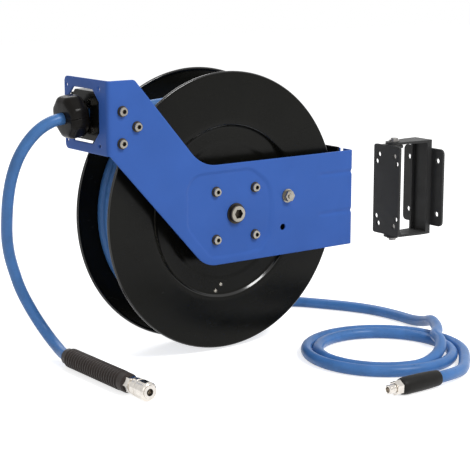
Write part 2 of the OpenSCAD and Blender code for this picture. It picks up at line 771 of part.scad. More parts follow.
// A flat strip wound from the arbor out to the case's wall
module mainspring() {
    inner = arbor_r + 0.4;
    outer = case_r - case_t - 2;
    strip = 1.6;
    per_turn = 20;
    steps = spring_turns * per_turn;
    spiral = [for (i = [0:steps]) let (a = 360 * i / per_turn, r = inner + (outer - inner) * i / steps) [r, a]];
    color(zinc) reel() plate_y(spring_from, spring_from + spring_w) polygon(concat(
        [for (p = spiral) p[0] * [cos(p[1]), sin(p[1])]],
        [for (i = [steps:-1:0]) (spiral[i][0] + strip) * [cos(spiral[i][1]), sin(spiral[i][1])]]));
}

module spring_arbor() {
    color(zinc) reel() turned(y = spring_from) translate([axle_d / 2 + fit, 0])
        square([arbor_r - axle_d / 2 - fit, spring_w]);
}

// ---------- Air path through the drum ----------

seal_y = [port_y - 2.4, port_y + 8];
swivel_l = 18;

module swivel_body() {
    color(brass) reel() difference() {
        turned() translate([axle_d / 2 + fit, swivel_from]) square([13, swivel_l]);
        translate([0, port_y + 4, 0]) cylinder(d = 7, h = 40, $fn = 32);
    }
}

module swivel_seals() {
    color(black) reel() for (y = seal_y) turned(y = y + 0.2)
        translate([axle_d / 2 - 1.3, 0]) square([1.25, 2]);
}

// The pipe from the swivel out through the core, and the elbow that the hose's inner end is on
module drum_outlet() {
    from = axle_d / 2 + fit + 13 + 0.05;
    color(brass) reel() translate([0, port_y + 4, 0]) difference() {
        union() {
            translate([0, 0, from]) cylinder(d = 12, h = core_r - 2 - from, $fn = 32);
            translate([0, 0, core_r - 16]) cylinder(d = 20, h = 12, $fn = 6);
            translate([0, 0, from]) cylinder(d = 20, h = 8, $fn = 6);
        }
        translate([0, 0, from - 1]) cylinder(d = 7, h = core_r, $fn = 32);
    }
}

// ---------- Hose on the drum ----------

// The wound hose: full layers, and an outer layer that leaves its middle wrap to the strand
module hose_pack() {
    middle = floor(wraps / 2);
    color(hose_blue) reel() turned() {
        translate([core_r + pass, pass + hose_d / 2]) square([layer_r[0] - core_r - hose_d / 2 - pass - 5,
            drum_inside - hose_d - 2 * pass]);
        for (i = [0:layers - 1], k = [0:wraps - 1]) if (i > 0 || k != middle)
            translate([layer_r[i], pass + hose_d / 2 + k * wrap_pitch]) circle(d = hose_d, $fn = 48);
    }
}

// The outer layer's middle wrap, and the stretch that leaves it for the guide and the stopper
level_from = [level_x + 6, guide_z];
leave_at = atan2(level_from.y, level_from.x) - acos(strand_r / norm(level_from));
leave = strand_r * [cos(leave_at), sin(leave_at)];
wrap_angle = 320;

module hose_strand() {
    run = unit(level_from - leave);
    straight = norm(level_from - leave);
    color(hose_blue) reel() {
        translate([0, mid_y, 0]) rotate([-90, 0, 0]) rotate([0, 0, -leave_at])
            rotate_extrude(angle = wrap_angle, $fn = 96) translate([strand_r, 0]) circle(d = hose_d, $fn = 48);
        tube(concat(
            [for (s = [0.1, straight / 3, 2 * straight / 3, straight - 12])
                let (p = leave + s * run) [p.x, mid_y, p.y]],
            [for (p = [[level_from.x - 12, guide_z], [upright_x, guide_z + 0.7], [-guide_reach + 3, guide_z + 1.2],
                    stopper_from, stopper_to + 0.2 * unit(stopper_from - stopper_to)])
                [p.x, mid_y, p.y]]), hose_d);
    }
}

// ---------- Inlet ----------

elbow_y = axle_end + 12;
ferrule_end = -62;

module inlet_elbow() {
    color(brass) reel() difference() {
        union() {
            hex_y(22, axle_end + 0.05, axle_end + 5);
            rod_y(18, axle_end + 4, elbow_y + 9);
            translate([0, elbow_y, -30]) cylinder(d = 17, h = 30, $fn = 48);
            translate([0, elbow_y, -36]) cylinder(d = 22 / cos(30), h = 12, $fn = 6);
            translate([0, elbow_y, ferrule_end]) cylinder(d = 22, h = 27, $fn = 48);
        }
        translate([0, elbow_y, ferrule_end - 1]) cylinder(d = 9, h = -ferrule_end, $fn = 32);
        rod_y(9, axle_end - 1, elbow_y);
    }
}

// ---------- Free hoses ----------

// Routes of the free hoses, from the reel's own axis
outlet_route = [
    [-254.8, 43.85, 153.65], [-258.8, 43.85, 153.1], [-273, 45, 149.6], [-289, 49, 140], [-302, 57, 124],
    [-312, 68, 101], [-317, 80, 73], [-317, 93, 42], [-313, 107, 9], [-307, 120, -22], [-298, 131, -52],
    [-286, 140, -81], [-274, 145, -109], [-261, 146, -135], [-249, 140, -160], [-241, 126, -180],
    [-239, 106, -192], [-241, 84, -198], [-244, 67, -198.5], [-244, 62, -198.5]
];
inlet_route = [
    [0, 134, -62], [0, 134, -82], [2, 134, -105], [12, 134, -130], [30, 135, -153], [54, 137, -174],
    [82, 141, -191], [112, 146, -201], [143, 152, -204.5], [174, 156, -204.5], [203, 156, -204.5],
    [229, 149, -204.5], [249, 134, -204.5], [265, 112, -204.5], [280, 88, -204.5], [296, 60, -204.5],
    [310, 28, -204.5], [318, -5, -204.5], [321, -40, -204.5], [319, -74, -203.5], [311, -107, -197],
    [298, -137, -187.5], [282, -163, -186.3], [263, -186, -186.3], [240, -206, -186.3]
];
tail_route = [
    [195.7, -308.8, -204.5], [176, -321, -203.5], [150, -330, -201.5], [130, -333.7, -200.6],
    [124, -334, -200.5], [120, -334, -200.5]
];
coil_at = [160, -174];
coil_outer_r = 131;
coil_inner_r = 79;

module outlet_hose() color(hose_blue) reel() tube(outlet_route, hose_d);

module inlet_hose() color(hose_blue) reel() {
    tube(inlet_route, hose_d);
    tube(tail_route, hose_d);
}

module inlet_coil() color(hose_blue) reel() translate([coil_at.x, coil_at.y, floor_z])
    rotate_extrude($fn = 96) translate([coil_inner_r, 0])
        polygon(rounded([[0, 0, 6], [coil_outer_r - coil_inner_r, 0, 6],
            [coil_outer_r - coil_inner_r, hose_d + 0.4, 6], [0, hose_d + 0.4, 6]]));

// ---------- Pieces on the outlet hose ----------

grip_at = outlet_route[len(outlet_route) - 1];
rib_pitch = 6.4;

// Everything on the outlet hose's end is turned about a line along -Y that starts at the grip
module at_grip(along = 0) reel() translate([grip_at.x, grip_at.y - along, grip_at.z]) rotate([90, 0, 0])
    children();

module hose_grip() {
    r = grip_d / 2;
    ribs = floor((grip_l - 26) / rib_pitch);
    rib = [[r - 1.9, 0], [r - 0.3, 0.9], [r, 1.6], [r, 3.2], [r - 0.3, 3.9], [r - 1.9, 4.8]];
    color(rubber) at_grip() rotate_extrude($fn = 64) polygon(concat(
        [[0, 0.1], [hose_d / 2 + 2.5, 0.1], [hose_d / 2 + 3.6, 1.2], [r - 2.2, 6]],
        [for (i = [0:ribs - 1], p = rib) p + [0, 11 + i * rib_pitch]],
        [[r - 1.9, 11 + ribs * rib_pitch], [r - 0.5, 12 + ribs * rib_pitch], [r - 0.5, grip_l - 3],
            [r - 2.5, grip_l - 0.1], [0, grip_l - 0.1]]));
}

socket_d = 10.4;
socket_l = 22;
sleeve_travel = 4;
sleeve_from = 17;

module coupler_body() {
    color(zinc) at_grip(grip_l) difference() {
        union() {
            cylinder(d = 21 / cos(30), h = 10, $fn = 6);
            cylinder(d = 19, h = coupler_l, $fn = 48);
        }
        translate([0, 0, coupler_l - socket_l]) cylinder(d = socket_d, h = socket_l + 1, $fn = 48);
        translate([0, 0, -1]) cylinder(d = 7, h = coupler_l, $fn = 32);
    }
}

// The sleeve that is drawn back to let the plug go
module coupler_sleeve() {
    r = coupler_d / 2;
    inner = 19 / 2 + fit;
    l = coupler_l - sleeve_from - 1;
    color(zinc) at_grip(grip_l + sleeve_from) rotate_extrude($fn = 96) polygon([
        [inner, 0], [r - 1.5, 0], [r - 0.5, 1], [r - 0.5, 7], [r - 2, 8.5], [r - 2, 12], [r, 13.5],
        [r, l - 3], [r - 1.5, l - 1], [r - 3, l], [inner, l]]);
}

// ---------- Pieces on the inlet hose ----------

tail_at = tail_route[len(tail_route) - 1];
sleeve_l = 72;
sleeve_d = 25;

// The inlet hose's end points along -X
module at_tail(along = 0) reel() translate([tail_at.x - along, tail_at.y, tail_at.z]) rotate([0, -90, 0])
    children();

module inlet_sleeve() {
    r = sleeve_d / 2;
    color(rubber) at_tail() rotate_extrude($fn = 64) polygon(rounded([
        [0, 0.1], [hose_d / 2 + 1.5, 0.1], [hose_d / 2 + 2, 8, 4], [r - 1.5, 14, 4], [r, 26, 8], [r, 62, 6],
        [r - 2, sleeve_l - 0.1, 2], [0, sleeve_l - 0.1]]));
}

nipple_d = 13.1;
nipple_l = 12;

module inlet_fitting() {
    color(brass) at_tail(sleeve_l) difference() {
        union() {
            cylinder(d = 19 / cos(30), h = 11, $fn = 6);
            cylinder(d = nipple_d, h = 11 + nipple_l, $fn = 48);
        }
        translate([0, 0, 2]) cylinder(d = 8, h = 11 + nipple_l, $fn = 32);
    }
}

wall_plate();
wall_strip();
pivot_pin();
pin_clips();
swivel_washers();
swing_plate();
arm_frame();
rear_support();
axle();
axle_spacers();
axle_nut();
centre_bolt();
hub_bolts();
guide_bolts();
pawl_bolt();
pawl();
pawl_spring();
roller_cage();
cage_bolts();
roller_pins();
roller_top();
roller_bottom();
roller_near();
roller_far();
stopper_halves();
stopper_screws();
front_flange();
rear_flange();
drum_core();
front_hub();
rear_hub();
front_bush();
rear_bush();
ratchet();
drum_bolts();
spring_case();
spring_cover();
mainspring();
spring_arbor();
swivel_body();
swivel_seals();
drum_outlet();
hose_pack();
hose_strand();
inlet_elbow();
outlet_hose();
hose_grip();
coupler_body();
coupler_sleeve();
inlet_hose();
inlet_coil();
inlet_sleeve();
inlet_fitting();
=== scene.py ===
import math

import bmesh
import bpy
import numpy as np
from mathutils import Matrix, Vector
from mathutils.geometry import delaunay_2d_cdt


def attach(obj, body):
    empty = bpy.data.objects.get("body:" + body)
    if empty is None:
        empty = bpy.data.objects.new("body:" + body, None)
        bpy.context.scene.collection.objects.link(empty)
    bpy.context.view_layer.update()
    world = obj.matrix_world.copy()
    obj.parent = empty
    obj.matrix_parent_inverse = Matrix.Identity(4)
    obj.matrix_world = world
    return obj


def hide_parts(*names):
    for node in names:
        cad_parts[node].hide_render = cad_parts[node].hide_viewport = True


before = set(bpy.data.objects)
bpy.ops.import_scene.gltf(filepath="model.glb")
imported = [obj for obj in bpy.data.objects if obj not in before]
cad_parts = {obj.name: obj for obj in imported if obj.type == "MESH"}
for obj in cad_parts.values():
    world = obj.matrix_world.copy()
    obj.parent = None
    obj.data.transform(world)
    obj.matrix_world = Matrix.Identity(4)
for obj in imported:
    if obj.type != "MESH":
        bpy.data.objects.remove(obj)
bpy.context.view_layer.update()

# The looks of a spring-rewind air hose reel, its free hoses and its swivelling wall bracket.
#
# Lengths are millimetres in the reel's own coordinates: X towards the wall, Y from the front rim
# to the back of the drum, Z up, with the drum's axis at X = Z = 0. at_reel() takes them to the
# row frame in metres, which is what the floor, the lamps and the shaders' bumps are given in.

MM = 0.001
REEL_AT = Vector((-430, -22.5, 6))          # the reel's own origin in the row frame
FLOOR_Z = -213                              # the floor that the free hoses lie on
HOSE_D = 17
HOSE_R = HOSE_D / 2


def at_reel(point):
    """A point of the reel's own coordinates in the row frame, in metres."""
    return (Vector(point) + REEL_AT) * MM


# ---------------------------------------------------------------- camera

CAMERA_AT = (-1284.8, -1743.9, 401.3)
CAMERA_AZIMUTH, CAMERA_TILT = -36.7, 78.57  # degrees
CAMERA_LENS, CAMERA_SENSOR = 112.3, 36
CAMERA_REACH = 50                           # metres


def add_camera():
    data = bpy.data.cameras.new("camera")
    data.lens = CAMERA_LENS
    data.sensor_width = CAMERA_SENSOR
    data.clip_end = CAMERA_REACH
    camera = bpy.data.objects.new("camera", data)
    camera.location = at_reel(CAMERA_AT)
    camera.rotation_euler = (math.radians(CAMERA_TILT), 0, math.radians(CAMERA_AZIMUTH))
    bpy.context.collection.objects.link(camera)
    bpy.context.scene.camera = camera


# ---------------------------------------------------------------- node materials

def new_material(name):
    """A material with its Principled shader; returns the material, the node tree and the shader."""
    material = bpy.data.materials.new(name)
    material.use_nodes = True
    tree = material.node_tree
    return material, tree, tree.nodes["Principled BSDF"]


def add_noise(tree, scale, detail=4, rough=0.5, stretch=(1, 1, 1)):
    """Noise over the object's own coordinates, which move with it."""
    place = tree.nodes.new("ShaderNodeTexCoord")
    mapping = tree.nodes.new("ShaderNodeMapping")
    mapping.inputs["Scale"].default_value = stretch
    noise = tree.nodes.new("ShaderNodeTexNoise")
    noise.inputs["Scale"].default_value = scale
    noise.inputs["Detail"].default_value = detail
    noise.inputs["Roughness"].default_value = rough
    tree.links.new(place.outputs["Object"], mapping.inputs["Vector"])
    tree.links.new(mapping.outputs["Vector"], noise.inputs["Vector"])
    return noise.outputs["Fac"]


def add_range(tree, value, low, high, from_low=0.3, from_high=0.7):
    """A value stretched from one span to another. Noise stays mostly within the default span."""
    node = tree.nodes.new("ShaderNodeMapRange")
    node.inputs["From Min"].default_value = from_low
    node.inputs["From Max"].default_value = from_high
    node.inputs["To Min"].default_value = low
    node.inputs["To Max"].default_value = high
    tree.links.new(value, node.inputs["Value"])
    return node.outputs["Result"]


def add_ramp(tree, value, stops):
    """A colour ramp between two (position, colour) stops."""
    node = tree.nodes.new("ShaderNodeValToRGB")
    for element, (position, colour) in zip(node.color_ramp.elements, stops):
        element.position = position
        element.color = (*colour, 1)
    tree.links.new(value, node.inputs["Fac"])
    return node.outputs["Color"]


def add_bump(tree, height, strength, distance):
    node = tree.nodes.new("ShaderNodeBump")
    node.inputs["Strength"].default_value = strength
    node.inputs["Distance"].default_value = distance
    tree.links.new(height, node.inputs["Height"])
    return node.outputs["Normal"]


def add_edge_wear(tree):
    """How sharply the surface turns outward: near 1 on worn outer edges."""
    geometry = tree.nodes.new("ShaderNodeNewGeometry")
    return add_range(tree, geometry.outputs["Pointiness"], 0, 1, from_low=0.52, from_high=0.60)


# The colour sockets of the Mix node, which share their names with its other kinds
MIX_FACTOR, MIX_A, MIX_B, MIX_RESULT = 0, 6, 7, 2


def mix_colour(tree, factor, a, b):
    """A blend of two colours, each a plain one or a node's output."""
    node = tree.nodes.new("ShaderNodeMix")
    node.data_type = "RGBA"
    for value, socket in ((a, node.inputs[MIX_A]), (b, node.inputs[MIX_B])):
        if isinstance(value, tuple):
            socket.default_value = (*value, 1)
        else:
            tree.links.new(value, socket)
    tree.links.new(factor, node.inputs[MIX_FACTOR])
    return node.outputs[MIX_RESULT]


def shade_of(colour, factor):
    return tuple(min(1, c * factor) for c in colour)


def from_srgb(r, g, b):
    """The linear colour of an sRGB one given in 0 to 255."""
    return tuple(((c / 255 + 0.055) / 1.055) ** 2.4 if c > 10 else c / 255 / 12.92
                 for c in (r, g, b))


def add_mottling(tree, cloud, colour, variation):
    """A colour that is darker and lighter by a share, in clouds."""
    return add_ramp(tree, cloud, [(0.3, shade_of(colour, 1 - variation)),
                                  (0.7, shade_of(colour, 1 + variation))])


def paint(name, colour, rough, coat=0, peel=0.05, variation=0.05, specular=0.3):
    """Powder coat: orange peel, faint unevenness in colour and gloss, paler worn edges."""
    material, tree, shader = new_material(name)
    tone = add_mottling(tree, add_noise(tree, scale=14, detail=3), colour, variation)
    wear = add_range(tree, add_edge_wear(tree), 0, 0.25, 0, 1)
    tree.links.new(mix_colour(tree, wear, tone, shade_of(colour, 1.6)),
                   shader.inputs["Base Color"])
    smear = add_noise(tree, scale=35, detail=5, rough=0.6, stretch=(1, 1, 2.5))
    tree.links.new(add_range(tree, smear, rough * 0.85, rough * 1.2), shader.inputs["Roughness"])
    grain = add_noise(tree, scale=900, detail=2)
    tree.links.new(add_bump(tree, grain, peel, distance=0.0006), shader.inputs["Normal"])
    shader.inputs["Specular IOR Level"].default_value = specular
    shader.inputs["Coat Weight"].default_value = coat
    shader.inputs["Coat Roughness"].default_value = 0.12
    return material


def metal(name, colour, rough, brushed=(1, 1, 1), scale=250):
    """Bare or plated metal with fine scratches and duller patches."""
    material, tree, shader = new_material(name)
    cloud = add_noise(tree, scale=60, detail=4, rough=0.6)
    tone = add_ramp(tree, cloud, [(0.3, shade_of(colour, 0.75)), (0.65, colour)])
    tree.links.new(tone, shader.inputs["Base Color"])
    shader.inputs["Metallic"].default_value = 1
    lines = add_noise(tree, scale, detail=3, rough=0.6, stretch=brushed)
    tree.links.new(add_range(tree, lines, rough * 0.7, rough * 1.4), shader.inputs["Roughness"])
    tree.links.new(add_bump(tree, lines, 0.15, distance=0.0002), shader.inputs["Normal"])
    return material


def moulded(name, colour, rough, bump, scale=1400, variation=0.15, sheen=0.0, specular=0.25):
    """Moulded rubber or plastic with a fine grain and rubbed patches."""
    material, tree, shader = new_material(name)
    cloud = add_noise(tree, scale=40, detail=4, rough=0.6)
    tone = add_mottling(tree, cloud, colour, variation)
    wear = add_range(tree, add_edge_wear(tree), 0, 0.5, 0, 1)
    tree.links.new(mix_colour(tree, wear, tone, shade_of(colour, 2.2)),
                   shader.inputs["Base Color"])
    tree.links.new(add_range(tree, cloud, rough * 0.85, rough * 1.15), shader.inputs["Roughness"])
    grain = add_noise(tree, scale, detail=2)
    tree.links.new(add_bump(tree, grain, bump, distance=0.0003), shader.inputs["Normal"])
    shader.inputs["Specular IOR Level"].default_value = specular
    shader.inputs["Sheen Weight"].default_value = sheen
    return material


def hose_skin():
    """Smooth extruded hose: soft gloss, faint mottling and the braid showing under the skin."""
    material, tree, shader = new_material("hose_skin")
    cloud = add_noise(tree, scale=30, detail=5, rough=0.65)
    tone = add_mottling(tree, cloud, from_srgb(72, 121, 182), 0.14)
    tree.links.new(tone, shader.inputs["Base Color"])
    scuffs = add_noise(tree, scale=120, detail=4, rough=0.7)
    tree.links.new(add_range(tree, scuffs, 0.26, 0.44), shader.inputs["Roughness"])
    braid = add_noise(tree, scale=420, detail=2)
    tree.links.new(add_bump(tree, braid, 0.18, distance=0.0004), shader.inputs["Normal"])
    shader.inputs["Specular IOR Level"].default_value = 0.28
    shader.inputs["Subsurface Weight"].default_value = 0.03
    shader.inputs["Subsurface Radius"].default_value = (0.002, 0.003, 0.006)
    shader.inputs["Subsurface Scale"].default_value = 1.0
    return material


DRUM_BLACK = from_srgb(15, 15, 12)
ROUND_BRUSHED = (1, 6, 1)
M = {
    "blue": paint("blue_powder_coat", from_srgb(59, 99, 178), rough=0.38, specular=0.15),
    "gloss_black": paint("gloss_black_paint", DRUM_BLACK, rough=0.24, peel=0.03,
                         variation=0.15, specular=0.12),
    "rubbed_black": paint("rubbed_black_rim", DRUM_BLACK, rough=0.14, coat=0.2, peel=0,
                          variation=0.15, specular=0.4),
    "charcoal": paint("charcoal_powder_coat", from_srgb(48, 48, 48), rough=0.45, peel=0.15,
                      variation=0.12, specular=0.2),
    "zinc": metal("zinc_plate", (0.34, 0.32, 0.28), rough=0.22),
    # socket steel: near-black, put into the bolts' hex sockets as painted shade and onto their
    # washers as painted shadow
    "socket": metal("socket_steel_painted_shade", (0.07, 0.06, 0.05), rough=0.45),
    "dark_steel": metal("dark_steel", (0.30, 0.29, 0.28), rough=0.35),
    "nickel": metal("nickel_plate", (0.72, 0.68, 0.63), rough=0.16,
                    brushed=ROUND_BRUSHED, scale=180),
    "brass": metal("turned_brass", (0.66, 0.52, 0.28), rough=0.30,
                   brushed=ROUND_BRUSHED, scale=180),
    "grip": moulded("grip_rubber", from_srgb(45, 38, 35), rough=0.50, bump=0.4, scale=1500,
                    variation=0.2, sheen=0.05),
    "black_plastic": moulded("black_plastic", from_srgb(20, 18, 16), rough=0.24, bump=0.08,
                             scale=1200, variation=0.2, specular=0.1),
    "black_rubber": moulded("moulded_rubber", from_srgb(26, 25, 23), rough=0.45, bump=0.1,
                            specular=0.15),
    "white_plastic": moulded("white_plastic", from_srgb(225, 223, 218), rough=0.45, bump=0.15,
                             scale=1200, variation=0.03),
    "hose": hose_skin(),
}


# ---------------------------------------------------------------- shapes

def unit(v):
    return v / np.linalg.norm(v)


def smoothstep(t):
    """0 up to 0, 1 from 1 on, and a smooth change between them."""
    t = np.clip(t, 0, 1)
    return t * t * (3 - 2 * t)


def make_mesh(name, points, faces, material, body, smooth_angle):
    """A mesh from reel coordinates, shaded smooth up to an angle, riding on a body."""
    mesh = bpy.data.meshes.new(name)
    mesh.from_pydata([at_reel(p) for p in points], [], faces)
    mesh.validate()
    shell = bmesh.new()
    shell.from_mesh(mesh)
    bmesh.ops.recalc_face_normals(shell, faces=shell.faces)
    shell.to_mesh(mesh)
    shell.free()
    o = bpy.data.objects.new(name, mesh)
    bpy.context.collection.objects.link(o)
    mesh.materials.append(material)
    smooth(mesh, smooth_angle)
    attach(o, body)
    return o


def smooth(mesh, angle):
    mesh.shade_smooth()
    mesh.set_sharp_from_angle(angle=math.radians(angle))


def add_second_look(o, look, chosen):
    """Gives the faces whose middle, in reel coordinates, is chosen another material."""
    o.data.materials.append(M[look])
    last = len(o.data.materials) - 1
    for face in o.data.polygons:
        if chosen(o.matrix_world @ face.center / MM - REEL_AT):
            face.material_index = last


def add_bevel(o, width, angle):
    """Rounds the edges that are sharper than an angle."""
    bevel = o.modifiers.new("bevel", "BEVEL")
    bevel.width = width * MM
    bevel.segments = 2
    bevel.limit_method = "ANGLE"
    bevel.angle_limit = math.radians(angle)
    bevel.harden_normals = True


def corner_arc(a, b, c, r, steps):
    """The arc of radius r that rounds the corner b between a and c."""
    a, b, c = (np.array(p, float) for p in (a, b, c))
    u, v = unit(a - b), unit(c - b)
    half = math.acos(float(np.clip(u @ v, -1, 1))) / 2
    centre = b + unit(u + v) * r / math.sin(half)
    start, end = b + u * r / math.tan(half) - centre, b + v * r / math.tan(half) - centre
    from_angle = math.atan2(start[1], start[0])
    turn = (math.atan2(end[1], end[0]) - from_angle + math.pi) % (2 * math.pi) - math.pi
    angles = [from_angle + turn * i / steps for i in range(steps + 1)]
    return [centre + r * np.array([math.cos(a), math.sin(a)]) for a in angles]


def rounded(corners, steps):
    """An outline from corners (x, y) or, where round, (x, y, radius)."""
    points = []
    for i, b in enumerate(corners):
        a, c = corners[i - 1], corners[(i + 1) % len(corners)]
        if len(b) == 2:
            points.append(np.array(b, float))
        else:
            points += corner_arc(a[:2], b[:2], c[:2], b[2], steps)
    return np.array(points)


def refined(loop, step):
    """A closed outline with no gap between its points longer than step."""
    points = []
    for a, b in zip(loop, np.roll(loop, -1, axis=0)):
        n = max(1, math.ceil(np.linalg.norm(b - a) / step))
        points += [a + (b - a) * i / n for i in range(n)]
    return np.array(points)


def through(points, step=4):
    """A smooth line (centripetal Catmull-Rom) through points, with one about every step."""
    p = np.array(points, float)
    p = np.vstack([2 * p[0] - p[1], p, 2 * p[-1] - p[-2]])
    line = []
    for a, b, c, d in zip(p, p[1:], p[2:], p[3:]):
        n = max(2, round(np.linalg.norm(c - b) / step))
        t1 = np.linalg.norm(b - a) ** 0.5
        t2 = t1 + np.linalg.norm(c - b) ** 0.5
        t3 = t2 + np.linalg.norm(d - c) ** 0.5
        for t in np.linspace(t1, t2, n, endpoint=False):
            a1 = (t1 - t) / t1 * a + t / t1 * b
            a2 = (t2 - t) / (t2 - t1) * b + (t - t1) / (t2 - t1) * c
            a3 = (t3 - t) / (t3 - t2) * c + (t - t2) / (t3 - t2) * d
            b1 = (t2 - t) / t2 * a1 + t / t2 * a2
            b2 = (t3 - t) / (t3 - t1) * a2 + (t - t1) / (t3 - t1) * a3
            line.append((t2 - t) / (t2 - t1) * b1 + (t - t1) / (t2 - t1) * b2)
    return np.array(line + [p[-2]])


def tube(line, radius, sides):
    """Points and faces of a round tube along a line, with closed ends."""
    line = np.array(line, float)
    tangents = np.gradient(line, axis=0)
    tangents /= np.linalg.norm(tangents, axis=1)[:, None]
    side = np.array([0.1, 1, 0.1])
    points = []
    for p, t in zip(line, tangents):
        side = unit(side - side @ t * t)
        up = np.cross(t, side)
        points += [p + radius * (math.cos(a) * side + math.sin(a) * up)
                   for a in np.linspace(0, 2 * math.pi, sides, endpoint=False)]
    last = (len(line) - 1) * sides
    faces = [(row + k, row + sides + k, row + sides + (k + 1) % sides, row + (k + 1) % sides)
             for row in range(0, last, sides) for k in range(sides)]
    faces += [tuple(range(sides)), tuple(reversed(range(last, last + sides)))]
    return points, faces


def joined(shapes):
    """Several (points, faces) as one."""
    points, faces = [], []
    for p, f in shapes:
        faces += [tuple(i + len(points) for i in face) for face in f]
        points += list(p)
    return points, faces


def lathe(profile, centre, axis, segments, closed=True):
    """A profile of (radius, distance along the axis) turned about a line. Radius 0 closes an end.

    A closed profile is joined from its last point to its first, as a ring's is.
    """
    axis = unit(np.array(axis, float))
    side = unit(np.cross(axis, [0.3, 0.5, 1]))
    up = np.cross(axis, side)
    centre = np.array(centre, float)
    points, rows = [], []
    for r, along in profile:
        if r < 1e-6:
            rows.append([len(points)])
            points.append(centre + along * axis)
            continue
        rows.append(list(range(len(points), len(points) + segments)))
        points += [centre + along * axis + r * (math.cos(a) * side + math.sin(a) * up)
                   for a in np.linspace(0, 2 * math.pi, segments, endpoint=False)]
    faces = []
    pairs = list(zip(rows, rows[1:])) + ([(rows[-1], rows[0])] if closed else [])
    for a, b in pairs:
        for k in range(segments):
            m = (k + 1) % segments
            quad = [a[k % len(a)], b[k % len(b)], b[m % len(b)], a[m % len(a)]]
            face = [v for i, v in enumerate(quad) if v not in quad[:i]]
            if len(face) > 2:
                faces.append(tuple(face))
    return points, faces


def arc(centre, r, start, end, steps):
    """Points of an arc in the plane, angles in degrees."""
    return [(centre[0] + r * math.cos(math.radians(a)), centre[1] + r * math.sin(math.radians(a)))
            for a in np.linspace(start, end, steps + 1)]


# ---------------------------------------------------------------- cords

OUTLET_ROUTE = [
    (-254.8, 43.85, 153.65), (-258.8, 43.85, 153.1), (-273, 45, 149.6), (-289, 49, 140),
    (-302, 57, 124), (-312, 68, 101), (-317, 80, 73), (-317, 93, 42), (-313, 107, 9),
    (-307, 120, -22), (-298, 131, -52), (-286, 140, -81), (-274, 145, -109), (-261, 146, -135),
    (-249, 140, -160), (-241, 126, -180), (-239, 106, -192), (-241, 84, -198), (-244, 67, -198.5),
    (-244, 62, -198.5)]
INLET_ROUTE = [
    (0, 134, -62), (0, 134, -82), (2, 134, -105), (12, 134, -130), (30, 135, -153),
    (54, 137, -174), (82, 141, -191), (112, 146, -201), (143, 152, -204.5), (174, 156, -204.5),
    (203, 156, -204.5), (229, 149, -204.5), (249, 134, -204.5), (265, 112, -204.5),
    (280, 88, -204.5), (296, 60, -204.5), (310, 28, -204.5), (318, -5, -204.5),
    (321, -40, -204.5), (319, -74, -203.5), (311, -107, -197), (298, -137, -187.5),
    (282, -163, -186.3), (263, -186, -186.3), (240, -206, -186.3)]
TAIL_ROUTE = [
    (195.7, -308.8, -204.5), (176, -321, -203.5), (150, -330, -201.5), (130, -333.7, -200.6),
    (124, -334, -200.5), (120, -334, -200.5)]
COIL_AT = (160, -174)
COIL_FROM_R, COIL_FROM_ANGLE = 86.2, -21.8  # where the turns start, in degrees from +X
COIL_PITCH = 17.3
COIL_TURNS = 2.05
COIL_DROP = 0.22                            # the share of a turn in which it comes down
LEAD_Z, COIL_Z = -186.3, -204.5


def coil_route():
    """The inlet hose's turns: down off the outer ones to the floor, then outward clockwise."""
    points = []
    steps = round(COIL_TURNS * 24)
    for i in range(1, steps + 1):
        turn = COIL_TURNS * i / steps
        r = COIL_FROM_R + COIL_PITCH * turn
        angle = math.radians(COIL_FROM_ANGLE - 360 * turn)
        z = LEAD_Z + (COIL_Z - LEAD_Z) * smoothstep(turn / COIL_DROP)
        points.append((COIL_AT[0] + r * math.cos(angle), COIL_AT[1] + r * math.sin(angle), z))
    return points


def add_cord(name, line, body):
    """A round hose along a line, riding on a body."""
    curve = bpy.data.curves.new(name, "CURVE")
    curve.dimensions = "3D"
    curve.bevel_depth = HOSE_R * MM
    curve.bevel_resolution = 8
    curve.use_fill_caps = True
    spline = curve.splines.new("POLY")
    spline.points.add(len(line) - 1)
    for point, p in zip(spline.points, line):
        point.co = (*at_reel(p), 1)
    o = bpy.data.objects.new(name, curve)
    bpy.context.collection.objects.link(o)
    curve.materials.append(M["hose"])
    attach(o, body)
    return o


def add_free_hoses():
    outlet = through(OUTLET_ROUTE)
    hose = add_cord("outlet_hose_tube", outlet, "reel")
    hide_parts("outlet_hose")
    inlet = through(INLET_ROUTE + coil_route() + TAIL_ROUTE)
    hose = add_cord("inlet_hose_tube", inlet, "reel")
    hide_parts("inlet_hose", "inlet_coil")
    add_inlet_end()


TAIL_AT, TAIL_AXIS = TAIL_ROUTE[-1], (-1, 0, 0)
SLEEVE_L, SLEEVE_R = 72, 12.5
FITTING_HEX_R, FITTING_HEX_L = 10.97, 11    # the radius over its corners
THREAD_R, THREAD_ROOT_R, THREAD_L = 6.5, 5.75, 11.5
THREAD_PITCH, THREAD_TURNS = 1.34, 8
FITTING_BORE_R = 4


